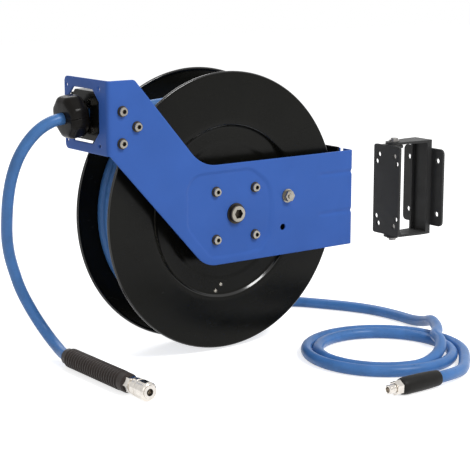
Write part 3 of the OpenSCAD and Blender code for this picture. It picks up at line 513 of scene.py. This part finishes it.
def add_inlet_end():
    """The moulded sleeve and the threaded pipe fitting on the inlet hose's end."""
    r, sleeve_end = SLEEVE_R, SLEEVE_L - 0.2
    profile = [
        (HOSE_R + 0.05, 0.2), (HOSE_R + 1.6, 0.2), (HOSE_R + 2.4, 0.8), (HOSE_R + 2.8, 2.5),
        (r - 0.8, 12), (r - 0.3, 22), (r, 34), (r, 62), (r - 0.4, 66), (r - 1.2, SLEEVE_L - 2),
        (r - 2.6, sleeve_end), (3, sleeve_end)]
    shape = lathe(profile, TAIL_AT, TAIL_AXIS, 72, closed=False)
    sleeve = make_mesh("inlet_sleeve_moulding", *shape, M["black_rubber"], "reel", 40)
    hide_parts("inlet_sleeve")
    hex_from = SLEEVE_L + 0.1
    hex_to = hex_from + FITTING_HEX_L
    chamfer_r = FITTING_HEX_R - 1.37
    hexagon = [(0, hex_from), (chamfer_r, hex_from), (FITTING_HEX_R, hex_from + 1.0),
               (FITTING_HEX_R, hex_to - 1.0), (chamfer_r, hex_to), (0, hex_to)]
    thread = [(THREAD_ROOT_R + 0.25, hex_to - 0.5)]
    for i in range(THREAD_TURNS):
        x = hex_to + 0.6 + i * THREAD_PITCH
        crest_r = THREAD_R - 0.02 * i       # a pipe thread tapers towards its end
        thread += [(THREAD_ROOT_R, x), (crest_r, x + THREAD_PITCH * 0.45),
                   (crest_r, x + THREAD_PITCH * 0.6)]
    end = hex_to + THREAD_L
    thread += [(THREAD_ROOT_R, end - 0.2), (5.2, end), (FITTING_BORE_R, end),
               (FITTING_BORE_R, end - 9), (0, end - 9)]
    shapes = [lathe(hexagon, TAIL_AT, TAIL_AXIS, 6, closed=False),
              lathe(thread, TAIL_AT, TAIL_AXIS, 64, closed=False)]
    fitting = make_mesh("inlet_pipe_fitting", *joined(shapes), M["nickel"], "reel", 30)
    add_bevel(fitting, 0.25, 50)
    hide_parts("inlet_fitting")
    return [sleeve, fitting]


# ---------------------------------------------------------------- the bent and pressed arm

SHEET_T = 3
BASE_X, GUIDE_X, ARM_Y = 230, -221, -23.7   # the outer faces
ARM_TOP, ARM_LOW = 76, -74
GUIDE_TOP, GUIDE_LOW = 209, 104
BEND_R = 6
GUIDE_W, BASE_W = 118, 92
MIDDLE_Y, GUIDE_Z = 43.85, 156.5            # where the hose passes the guide
WINDOW_W, WINDOW_H, WINDOW_CUT = 86, 77, 17
GUIDE_BOLTS = [(-198, 166), (-174, 143), (-199, 121)]
HUB_BOLTS = [(x, z) for x in (-36, 36) for z in (-36, 36)]
PAWL_BOLT, SPARE_HOLE = (97, 17), (89, -31)
CORNER_HOLE_R, BOLT_HOLE_R, SPARE_HOLE_R, BASE_HOLE_R = 2.5, 3.5, 5, 4.25
PANEL_DEPTH = 2
STEEP_RUN, GENTLE_RUN = 4.5, 9              # the width of the panel's edge, left and right
GENTLE_FROM, GENTLE_OVER = 20, 40           # where along X the edge widens
RIB_DEPTH, RIB_HALF, RIB_Z = 1.4, 5.2, (42, -20)
RIB_FROM, RIB_RUN = 156, 14                 # where along X the grooves start

# Distances along the unbent sheet, from the guide plate's free edge to the base's
GUIDE_FLAT = GUIDE_W - BEND_R
BEND_L = BEND_R * math.pi / 2
ARM_FROM = GUIDE_FLAT + BEND_L
ARM_TO = ARM_FROM + (BASE_X - GUIDE_X - 2 * BEND_R)
BASE_FROM = ARM_TO + BEND_L

# The net of points on the sheet, and the width of its rounded edge
NET_STEP, EDGE = 2.4, 0.7


def along_guide(y):
    return GUIDE_FLAT - (y - ARM_Y - BEND_R)


def along_arm(x):
    return ARM_FROM + x - GUIDE_X - BEND_R


def along_base(y):
    return BASE_FROM + y - ARM_Y - BEND_R


def sheet_point(s, z, depth):
    """A point depth millimetres under the sheet's outer face; s runs along the unbent sheet."""
    if s <= GUIDE_FLAT:
        return (GUIDE_X + depth, ARM_Y + BEND_R + GUIDE_FLAT - s, z)
    if s < ARM_FROM:
        turn = (s - GUIDE_FLAT) / BEND_R
        r = BEND_R - depth
        return (GUIDE_X + BEND_R - r * math.cos(turn), ARM_Y + BEND_R - r * math.sin(turn), z)
    if s <= ARM_TO:
        return (GUIDE_X + BEND_R + s - ARM_FROM, ARM_Y + depth, z)
    if s < BASE_FROM:
        turn = (s - ARM_TO) / BEND_R
        r = BEND_R - depth
        return (BASE_X - BEND_R + r * math.sin(turn), ARM_Y + BEND_R - r * math.cos(turn), z)
    return (BASE_X - depth, ARM_Y + BEND_R + s - BASE_FROM, z)


def inside_by(points, loop):
    """How far each point lies inside a closed outline; negative outside."""
    distance = np.full(len(points), 1e9)
    inside = np.zeros(len(points), bool)
    for a, b in zip(loop, np.roll(loop, -1, axis=0)):
        d = b - a
        t = np.clip(((points - a) @ d) / max(d @ d, 1e-9), 0, 1)
        distance = np.minimum(distance, np.linalg.norm(points - a - t[:, None] * d, axis=1))
        crosses = (a[1] > points[:, 1]) != (b[1] > points[:, 1])
        with np.errstate(divide="ignore", invalid="ignore"):
            left = points[:, 0] < (b[0] - a[0]) * (points[:, 1] - a[1]) / (b[1] - a[1]) + a[0]
        inside ^= crosses & left
    return np.where(inside, distance, -distance)


def circle(x, y, r, steps):
    turns = [2 * math.pi * i / steps for i in range(steps)]
    return [(x + r * math.cos(a), y + r * math.sin(a)) for a in turns]


def eight_sided(width, height, cut):
    """The corners of a rectangle with its own corners cut off, counter-clockwise."""
    x, z = width / 2, height / 2
    return [(-x, cut - z), (cut - x, -z), (x - cut, -z), (x, cut - z),
            (x, z - cut), (x - cut, z), (cut - x, z), (-x, z - cut)]


def arm_outline():
    """The unbent sheet: guide plate, slanted band, level band and base with its relief notch."""
    base_end = along_base(ARM_Y + BASE_W)
    notch_from, notch_to, notch_low = along_base(-1), along_base(7), ARM_TOP - 7
    return rounded([
        (0, GUIDE_LOW, 8), (along_arm(GUIDE_X) + 3, GUIDE_LOW, 6), (along_arm(-56), ARM_LOW, 45),
        (base_end, ARM_LOW, 12), (base_end, ARM_TOP, 12), (notch_to, ARM_TOP),
        (notch_to, notch_low, 1.5), (notch_from, notch_low, 1.5), (notch_from, ARM_TOP),
        (along_arm(-62), ARM_TOP, 60), (along_arm(-177), GUIDE_TOP, 8), (0, GUIDE_TOP, 8)], 12)


def arm_holes():
    """The window, and the holes at its corners, for the bolts in the arm and in the base."""
    middle = along_guide(MIDDLE_Y)
    window = eight_sided(WINDOW_W, WINDOW_H, WINDOW_CUT)
    holes = [rounded([(middle + x, GUIDE_Z + z, 1.5) for x, z in window], 4)]
    holes += [circle(middle + x, GUIDE_Z + z, CORNER_HOLE_R, 24)
              for x in (-44, 44) for z in (-40, 40)]
    holes += [circle(along_arm(x), z, BOLT_HOLE_R, 24) for x, z in GUIDE_BOLTS + [PAWL_BOLT]]
    holes += [circle(along_arm(SPARE_HOLE[0]), SPARE_HOLE[1], SPARE_HOLE_R, 40)]
    holes += [circle(along_base(y - REEL_AT.y), z - REEL_AT.z, BASE_HOLE_R, 40)
              for y in (-18.5, 18.5) for z in (-58, 58)]
    return [np.array(hole) for hole in holes]


def panel_outline():
    corners = [(-88, 64, 26), (30, 65, 30), (67, 42, 34), (73, 0, 60), (67, -44, 34),
               (46, -63, 20), (-46, -63, 20), (-88, -14, 30)]
    return np.array([(along_arm(x), z) for x, z in rounded(corners, 8)])


def pressed_depth(points):
    """How deep the pressing is: the panel round the hub, and two grooves at the base's bend."""
    inside = inside_by(points, panel_outline())
    gentle = np.clip((points[:, 0] - along_arm(GENTLE_FROM)) / GENTLE_OVER, 0, 1)
    run = STEEP_RUN + (GENTLE_RUN - STEEP_RUN) * gentle
    depth = PANEL_DEPTH * smoothstep(inside / run + 0.5 * (1 - gentle))
    reach = smoothstep((points[:, 0] - along_arm(RIB_FROM)) / RIB_RUN)
    for z in RIB_Z:
        across = np.clip(np.abs(points[:, 1] - z) / RIB_HALF, 0, 1)
        depth = depth + RIB_DEPTH * np.cos(across * math.pi / 2) ** 2 * reach
    return depth


def in_metal(points, outline, holes):
    """How far each point lies from the sheet's nearest edge; negative outside and in holes."""
    away = inside_by(points, outline)
    for hole in holes:
        away = np.minimum(away, -inside_by(points, hole))
    return away


def even_net(outline):
    """Points in staggered rows over the outline's box."""
    low, high = outline.min(0), outline.max(0)
    rows = np.arange(low[1], high[1], NET_STEP * math.sqrt(3) / 2)
    return np.array([(x + (i % 2) * NET_STEP / 2, z) for i, z in enumerate(rows)
                     for x in np.arange(low[0], high[0], NET_STEP)])


def edge_rim(loop, inward, outline):
    """Points one edge width away from a loop, on its metal side."""
    d = np.roll(loop, -1, axis=0) - np.roll(loop, 1, axis=0)
    normal = np.stack([-d[:, 1], d[:, 0]], axis=1) / np.linalg.norm(d, axis=1)[:, None]
    rim = loop + normal * EDGE * inward
    return rim[inside_by(rim, outline) > EDGE * 0.7]


def flat_sheet():
    """The unbent sheet's points, its triangles, and each point's distance from the edge."""
    outline, *holes = [refined(loop, NET_STEP) for loop in [arm_outline()] + arm_holes()]
    net = even_net(outline)
    net = net[in_metal(net, outline, holes) > EDGE + 0.9]
    rims = [edge_rim(outline, 1, outline)] + [edge_rim(hole, -1, outline) for hole in holes]
    edges, start = [], 0
    for loop in [outline] + holes:
        n = len(loop)
        edges += [(start + i, start + (i + 1) % n) for i in range(n)]
        start += n
    points = [Vector(p) for p in np.vstack([outline] + holes + rims + [net])]
    points, _, triangles, *_ = delaunay_2d_cdt(points, edges, [], 0, 1e-4)
    points, triangles = np.array([tuple(v) for v in points]), np.array(triangles)
    triangles = triangles[in_metal(points[triangles].mean(axis=1), outline, holes) > 0]
    used, triangles = np.unique(triangles, return_inverse=True)
    points = points[used]
    return points, triangles.reshape(-1, 3), in_metal(points, outline, holes)


def add_arm():
    """The arm, guide plate and base as one sheet, pressed, bent and thickened."""
    flat, triangles, away = flat_sheet()
    roll = 0.5 * (1 - np.clip(away / EDGE, 0, 1)) ** 2
    depth = pressed_depth(flat)
    n = len(flat)
    front = [sheet_point(s, z, d) for (s, z), d in zip(flat, depth + roll)]
    back = [sheet_point(s, z, d) for (s, z), d in zip(flat, depth + SHEET_T - roll)]
    faces = [tuple(t) for t in triangles.tolist()]
    edges = dict.fromkeys(edge for t in faces for edge in zip(t, t[1:] + t[:1]))
    sides = [(b, a, a + n, b + n) for a, b in edges if (b, a) not in edges]
    faces += [tuple(v + n for v in reversed(t)) for t in faces] + sides
    arm = make_mesh("pressed_arm", front + back, faces, M["blue"], "reel", 50)
    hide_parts("arm_frame")


# ---------------------------------------------------------------- drum and wound hose

FLANGE_R, BEAD_R, FLANGE_T = 210, 2.5, 1.2
INSIDE_Y = 87.7                             # the distance between the flanges
RECESS_R, RECESS = 131, 6
RUBBED_RIM = 2                              # the width of the rims' rubbed edge
RIVETS_AT = [(-9.5, -112), (-19.5, -121)]
CORE_R, CORE_WALL = 144, 6
WRAP_PITCH, WRAPS = 17.6, 5
LAYER_R = (168.5, 152)
STRAND_R = 169.3


def flange_profile():
    """A flange's section from the hub to the rolled rim, as (radius, depth behind the rim)."""
    dish = [(30, RECESS), (98, RECESS), (101, RECESS - 0.3), (104, RECESS - 0.9),
            (108, RECESS - 1.2), (RECESS_R - 8, RECESS - 1.2), (RECESS_R - 5, RECESS - 1.5),
            (RECESS_R - 3, RECESS - 2.4), (RECESS_R - 1.2, RECESS - 3.9), (RECESS_R + 0.4, 0.9),
            (RECESS_R + 2.5, 0.4), (RECESS_R + 6, 0.1), (RECESS_R + 10, 0)]
    r = FLANGE_R - BEAD_R
    outer = [(a, d - FLANGE_T) for a, d in dish] + [(r - 3, -FLANGE_T)]
    rim = arc((r, BEAD_R - FLANGE_T), BEAD_R, -90, 165, 18)
    return outer + rim + [(r - 2.4, 0)] + dish[::-1]


def is_rubbed(point):
    """On the rim, or on the recess's step."""
    r = math.hypot(point.x, point.z)
    return r > FLANGE_R - RUBBED_RIM or RECESS_R - 3.5 < r < RECESS_R + 1


def add_flanges():
    for name, y, inward in (("front_flange", 0, 1), ("rear_flange", INSIDE_Y, -1)):
        shape = lathe(flange_profile(), (0, y, 0), (0, inward, 0), 192)
        flange = make_mesh(name + "_pressing", *shape, M["gloss_black"], "drum", 50)
        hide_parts(name)
        add_second_look(flange, "rubbed_black", is_rubbed)
    head = [(0, -2.6), (1.6, -2.3), (2.8, -1.3), (3.2, 0), (0, 0)]
    rivets = [lathe(head, (x, RECESS - 2.4, z), (0, 1, 0), 24, closed=False)
              for x, z in RIVETS_AT]
    studs = make_mesh("flange_rivets", *joined(rivets), M["zinc"], "drum", 40)


def wrap_line(first, last, radius, dive):
    """Wraps side by side on the drum: each steps over to the next, and both ends tuck under."""
    steps, step_from, tuck_for, start_angle = 90, 0.82, 0.12, 0.6
    turns = last - first + 1
    line = []
    for i in range(turns * steps + 1):
        turn = i / steps
        whole, part = divmod(turn, 1)
        across = min(first + whole + smoothstep((part - step_from) / (1 - step_from)), last)
        y = 0.3 + HOSE_R + across * WRAP_PITCH
        tuck = max(1 - turn / tuck_for, 1 - (turns - turn) / tuck_for, 0)
        r = radius - dive * smoothstep(tuck)
        a = 2 * math.pi * turn + start_angle
        line.append((r * math.cos(a), y, r * math.sin(a)))
    return line


def add_wound_hose():
    """Two layers on the core. The strand takes the middle wrap's place in the outer one."""
    outer, inner = LAYER_R
    lines = [wrap_line(0, 1, outer, 16), wrap_line(3, 4, outer, 16),
             wrap_line(0, WRAPS - 1, inner, 6)]
    section = [(CORE_R, 1), (CORE_R + CORE_WALL, 1), (CORE_R + CORE_WALL, INSIDE_Y - 1),
               (CORE_R, INSIDE_Y - 1)]
    shapes = [tube(line, HOSE_R, 20) for line in lines]
    shapes.append(lathe(section, (0, 0, 0), (0, 1, 0), 96))
    wound = make_mesh("wound_hose", *joined(shapes), M["hose"], "drum", 50)
    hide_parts("hose_pack")


STOPPER_L, STOPPER_TILT = 29, math.radians(8)
STOPPER_FROM = np.array((-226, MIDDLE_Y, GUIDE_Z + 1.2))
STOPPER_AXIS = np.array((math.cos(STOPPER_TILT), 0, math.sin(STOPPER_TILT)))
STOPPER_TO = STOPPER_FROM - STOPPER_L * STOPPER_AXIS
LEVEL_X = -179.5                            # where the strand comes level with the guide
STRAND_WRAP = 318                           # degrees that it lies on the drum


def add_strand():
    """The wrap that leaves the drum, and its straight run through the guide and the stopper."""
    reach = math.hypot(LEVEL_X, GUIDE_Z)
    leave = math.atan2(GUIDE_Z, LEVEL_X) - math.acos(STRAND_R / reach)
    wrap = [(STRAND_R * math.cos(leave - a), MIDDLE_Y, STRAND_R * math.sin(leave - a))
            for a in np.linspace(math.radians(STRAND_WRAP), 0, 120)]
    last, level = np.array(wrap[-1]), np.array((LEVEL_X, MIDDLE_Y, GUIDE_Z))
    straight = [tuple(last + (level - last) * t) for t in (0.25, 0.5, 0.75, 0.93)]
    run = [(x, MIDDLE_Y, GUIDE_Z + up) for x, up in ((LEVEL_X - 12, 0), (-204, 0.7), (-218, 1.2))]
    inward = unit(STOPPER_FROM - STOPPER_TO)
    run += [tuple(STOPPER_TO + t * inward) for t in (STOPPER_L, 18, 8, 0.2)]
    line = wrap + list(map(tuple, through([wrap[-1]] + straight + run)))[1:]
    strand = make_mesh("strand", *tube(line, HOSE_R, 24), M["hose"], "reel", 50)
    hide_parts("hose_strand")


# ---------------------------------------------------------------- hose stopper

STOPPER_BORE_R = HOSE_R + 0.3
JOINT_HALF = 0.008                          # half the joint line's width, in radians


def octagon_reach(a):
    """How far a regular octagon reaches in direction a, if its flats are at 1."""
    eighth = math.pi / 4
    return 1 / math.cos((a + eighth / 2) % eighth - eighth / 2)


def add_stopper():
    """Two moulded halves on the hose, with eight flats, round shoulders and a joint line."""
    along = unit(STOPPER_FROM - STOPPER_TO)
    side = np.array((0, 1, 0))
    up = np.cross(along, side)
    profile = [(STOPPER_BORE_R, 0), (21, 0), (24.5, 0.6), (27.4, 2.4), (29.2, 4.8), (30, 8),
               (30, 24), (29, 26.6), (27, 28.4), (24, STOPPER_L), (STOPPER_BORE_R, STOPPER_L)]
    n = len(profile)
    halves = []
    for half in (0, math.pi):
        angles = np.linspace(half + JOINT_HALF, half + math.pi - JOINT_HALF, 65)
        points = []
        for a in angles:
            out = math.cos(a) * side + math.sin(a) * up
            corner = min(octagon_reach(a), 1.05)
            points += [STOPPER_TO + x * along + r * (corner if r > STOPPER_BORE_R else 1) * out
                       for r, x in profile]
        faces = [(row + k, row + (k + 1) % n, row + n + (k + 1) % n, row + n + k)
                 for row in range(0, len(points) - n, n) for k in range(n)]
        faces += [tuple(reversed(range(n))), tuple(range(len(points) - n, len(points)))]
        halves.append((points, faces))
    stopper = make_mesh("stopper_moulding", *joined(halves), M["black_plastic"], "reel", 30)
    add_bevel(stopper, 0.5, 50)
    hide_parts("stopper_halves")


# ---------------------------------------------------------------- CAD pieces that show as they are

# The nodes of each look, and the width of their bevel
CAD_LOOKS = {
    "charcoal": (("wall_plate", "wall_strip", "swing_plate"), 0.6),
    "gloss_black": (("rear_support", "roller_cage", "drum_core", "spring_case",
                     "spring_cover"), 0.5),
    "zinc": (("centre_bolt", "hub_bolts", "guide_bolts", "pawl_bolt", "pawl", "cage_bolts",
              "roller_pins", "stopper_screws", "axle", "axle_spacers", "axle_nut", "front_hub",
              "rear_hub", "ratchet", "drum_bolts", "spring_arbor"), 0.35),
    "dark_steel": (("pivot_pin", "pin_clips", "pawl_spring", "mainspring"), 0.15),
    "nickel": (("coupler_body", "coupler_sleeve"), 0.35),
    "brass": (("inlet_elbow", "front_bush", "rear_bush", "swivel_body", "drum_outlet"), 0.35),
    "black_plastic": (("roller_top", "roller_bottom", "roller_near", "roller_far"), 0.4),
    "black_rubber": (("swivel_seals",), 0.2),
    "grip": (("hose_grip",), 0.3),
    "white_plastic": (("swivel_washers",), 0.2),
}
# Bolts in the arm: their places, and the radii between which their heads are bright. Inside the
# inner radius (the socket) and outside the outer one (the washer), near-black socket steel is
# painted shade in the socket and painted shadow round the head.
BOLTS = {
    "centre_bolt": ([(0, 0)], 7.6, 11.8),
    "hub_bolts": (HUB_BOLTS, 3.6, 6.6),
    "guide_bolts": (GUIDE_BOLTS, 3.6, 6.6),
}


def off_ring(places, inner, outer):
    """A test for points that lie off the ring between two radii round the nearest place."""
    def test(point):
        r = min(math.hypot(point.x - x, point.z - z) for x, z in places)
        return not inner < r < outer
    return test


def dress_cad_nodes():
    """Gives each CAD node that stays in view its material, smooth shading and a small bevel."""
    for look, (names, bevel) in CAD_LOOKS.items():
        for name in names:
            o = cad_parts[name]
            o.data.materials.clear()
            o.data.materials.append(M[look])
            smooth(o.data, 30)
            add_bevel(o, bevel, 40)
    for name, (places, socket_r, head_r) in BOLTS.items():
        # the bolts' sockets and the washers round their heads take the near-black socket steel:
        # painted shade in the sockets, painted shadow on the washers
        add_second_look(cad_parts[name], "socket", off_ring(places, socket_r, head_r))


# ---------------------------------------------------------------- floor and light

def seen_rays(tree):
    """1 for rays from the camera and for its reflections, 0 for those that carry light."""
    rays = tree.nodes.new("ShaderNodeLightPath")
    either = rays.outputs["Is Camera Ray"]
    for kind in ("Is Glossy Ray", "Is Transmission Ray"):
        node = tree.nodes.new("ShaderNodeMath")
        node.operation = "MAXIMUM"
        tree.links.new(either, node.inputs[0])
        tree.links.new(rays.outputs[kind], node.inputs[1])
        either = node.outputs[0]
    return either


FLOOR_HALF = 6                              # metres
FLOOR_LIFT = 0.72                           # the glow that makes the lit floor white to the eye
SKY_LIGHT = 0.42                            # the sky's strength as a light; it is seen at 1


def add_floor():
    """A pale floor that is white to the camera and still takes the object's shadow."""
    mesh = bpy.data.meshes.new("floor")
    h, z = FLOOR_HALF, (FLOOR_Z + REEL_AT.z) * MM - 0.0005
    mesh.from_pydata([(-h, -h, z), (h, -h, z), (h, h, z), (-h, h, z)], [], [(0, 1, 2, 3)])
    floor = bpy.data.objects.new("floor", mesh)
    bpy.context.collection.objects.link(floor)
    material, tree, shader = new_material("floor_white")
    shader.inputs["Base Color"].default_value = (0.80, 0.80, 0.80, 1)
    shader.inputs["Roughness"].default_value = 0.9
    shader.inputs["Specular IOR Level"].default_value = 0.0
    shader.inputs["Emission Color"].default_value = (1, 1, 1, 1)
    strength = tree.nodes.new("ShaderNodeMath")
    strength.operation = "MULTIPLY"
    strength.inputs[1].default_value = FLOOR_LIFT
    tree.links.new(seen_rays(tree), strength.inputs[0])
    tree.links.new(strength.outputs[0], shader.inputs["Emission Strength"])
    mesh.materials.append(material)


def add_world():
    """Soft grey light from everywhere, behind a backdrop that is white to the eye and in gloss."""
    world = bpy.data.worlds.new("studio")
    bpy.context.scene.world = world
    world.use_nodes = True
    tree = world.node_tree
    background = tree.nodes["Background"]
    background.inputs["Color"].default_value = (1, 1, 1, 1)
    level = add_range(tree, seen_rays(tree), SKY_LIGHT, 1.0, 0, 1)
    tree.links.new(level, background.inputs["Strength"])


def add_lamp(name, at, size, watts):
    """A square lamp at a place in the row frame, turned to the drum's axis."""
    data = bpy.data.lights.new(name, "AREA")
    data.shape = "SQUARE"
    data.size = size
    data.energy = watts
    lamp = bpy.data.objects.new(name, data)
    lamp.location = at
    aim = at_reel((0, 0, 0)) - Vector(at)
    lamp.rotation_euler = aim.to_track_quat("-Z", "Y").to_euler()
    bpy.context.collection.objects.link(lamp)


def add_lights():
    add_lamp("key", (0.05, -2.0, 2.1), 0.8, 46)
    add_lamp("fill", (-2.2, -2.8, 0.9), 1.6, 6)
    add_lamp("back", (0.2, 1.8, 1.8), 1.2, 16)


add_camera()
add_free_hoses()
add_arm()
add_flanges()
add_wound_hose()
add_strand()
add_stopper()
dress_cad_nodes()
add_floor()
add_world()
add_lights()
bpy.context.scene.view_settings.view_transform = "Standard"
bpy.context.view_layer.update()
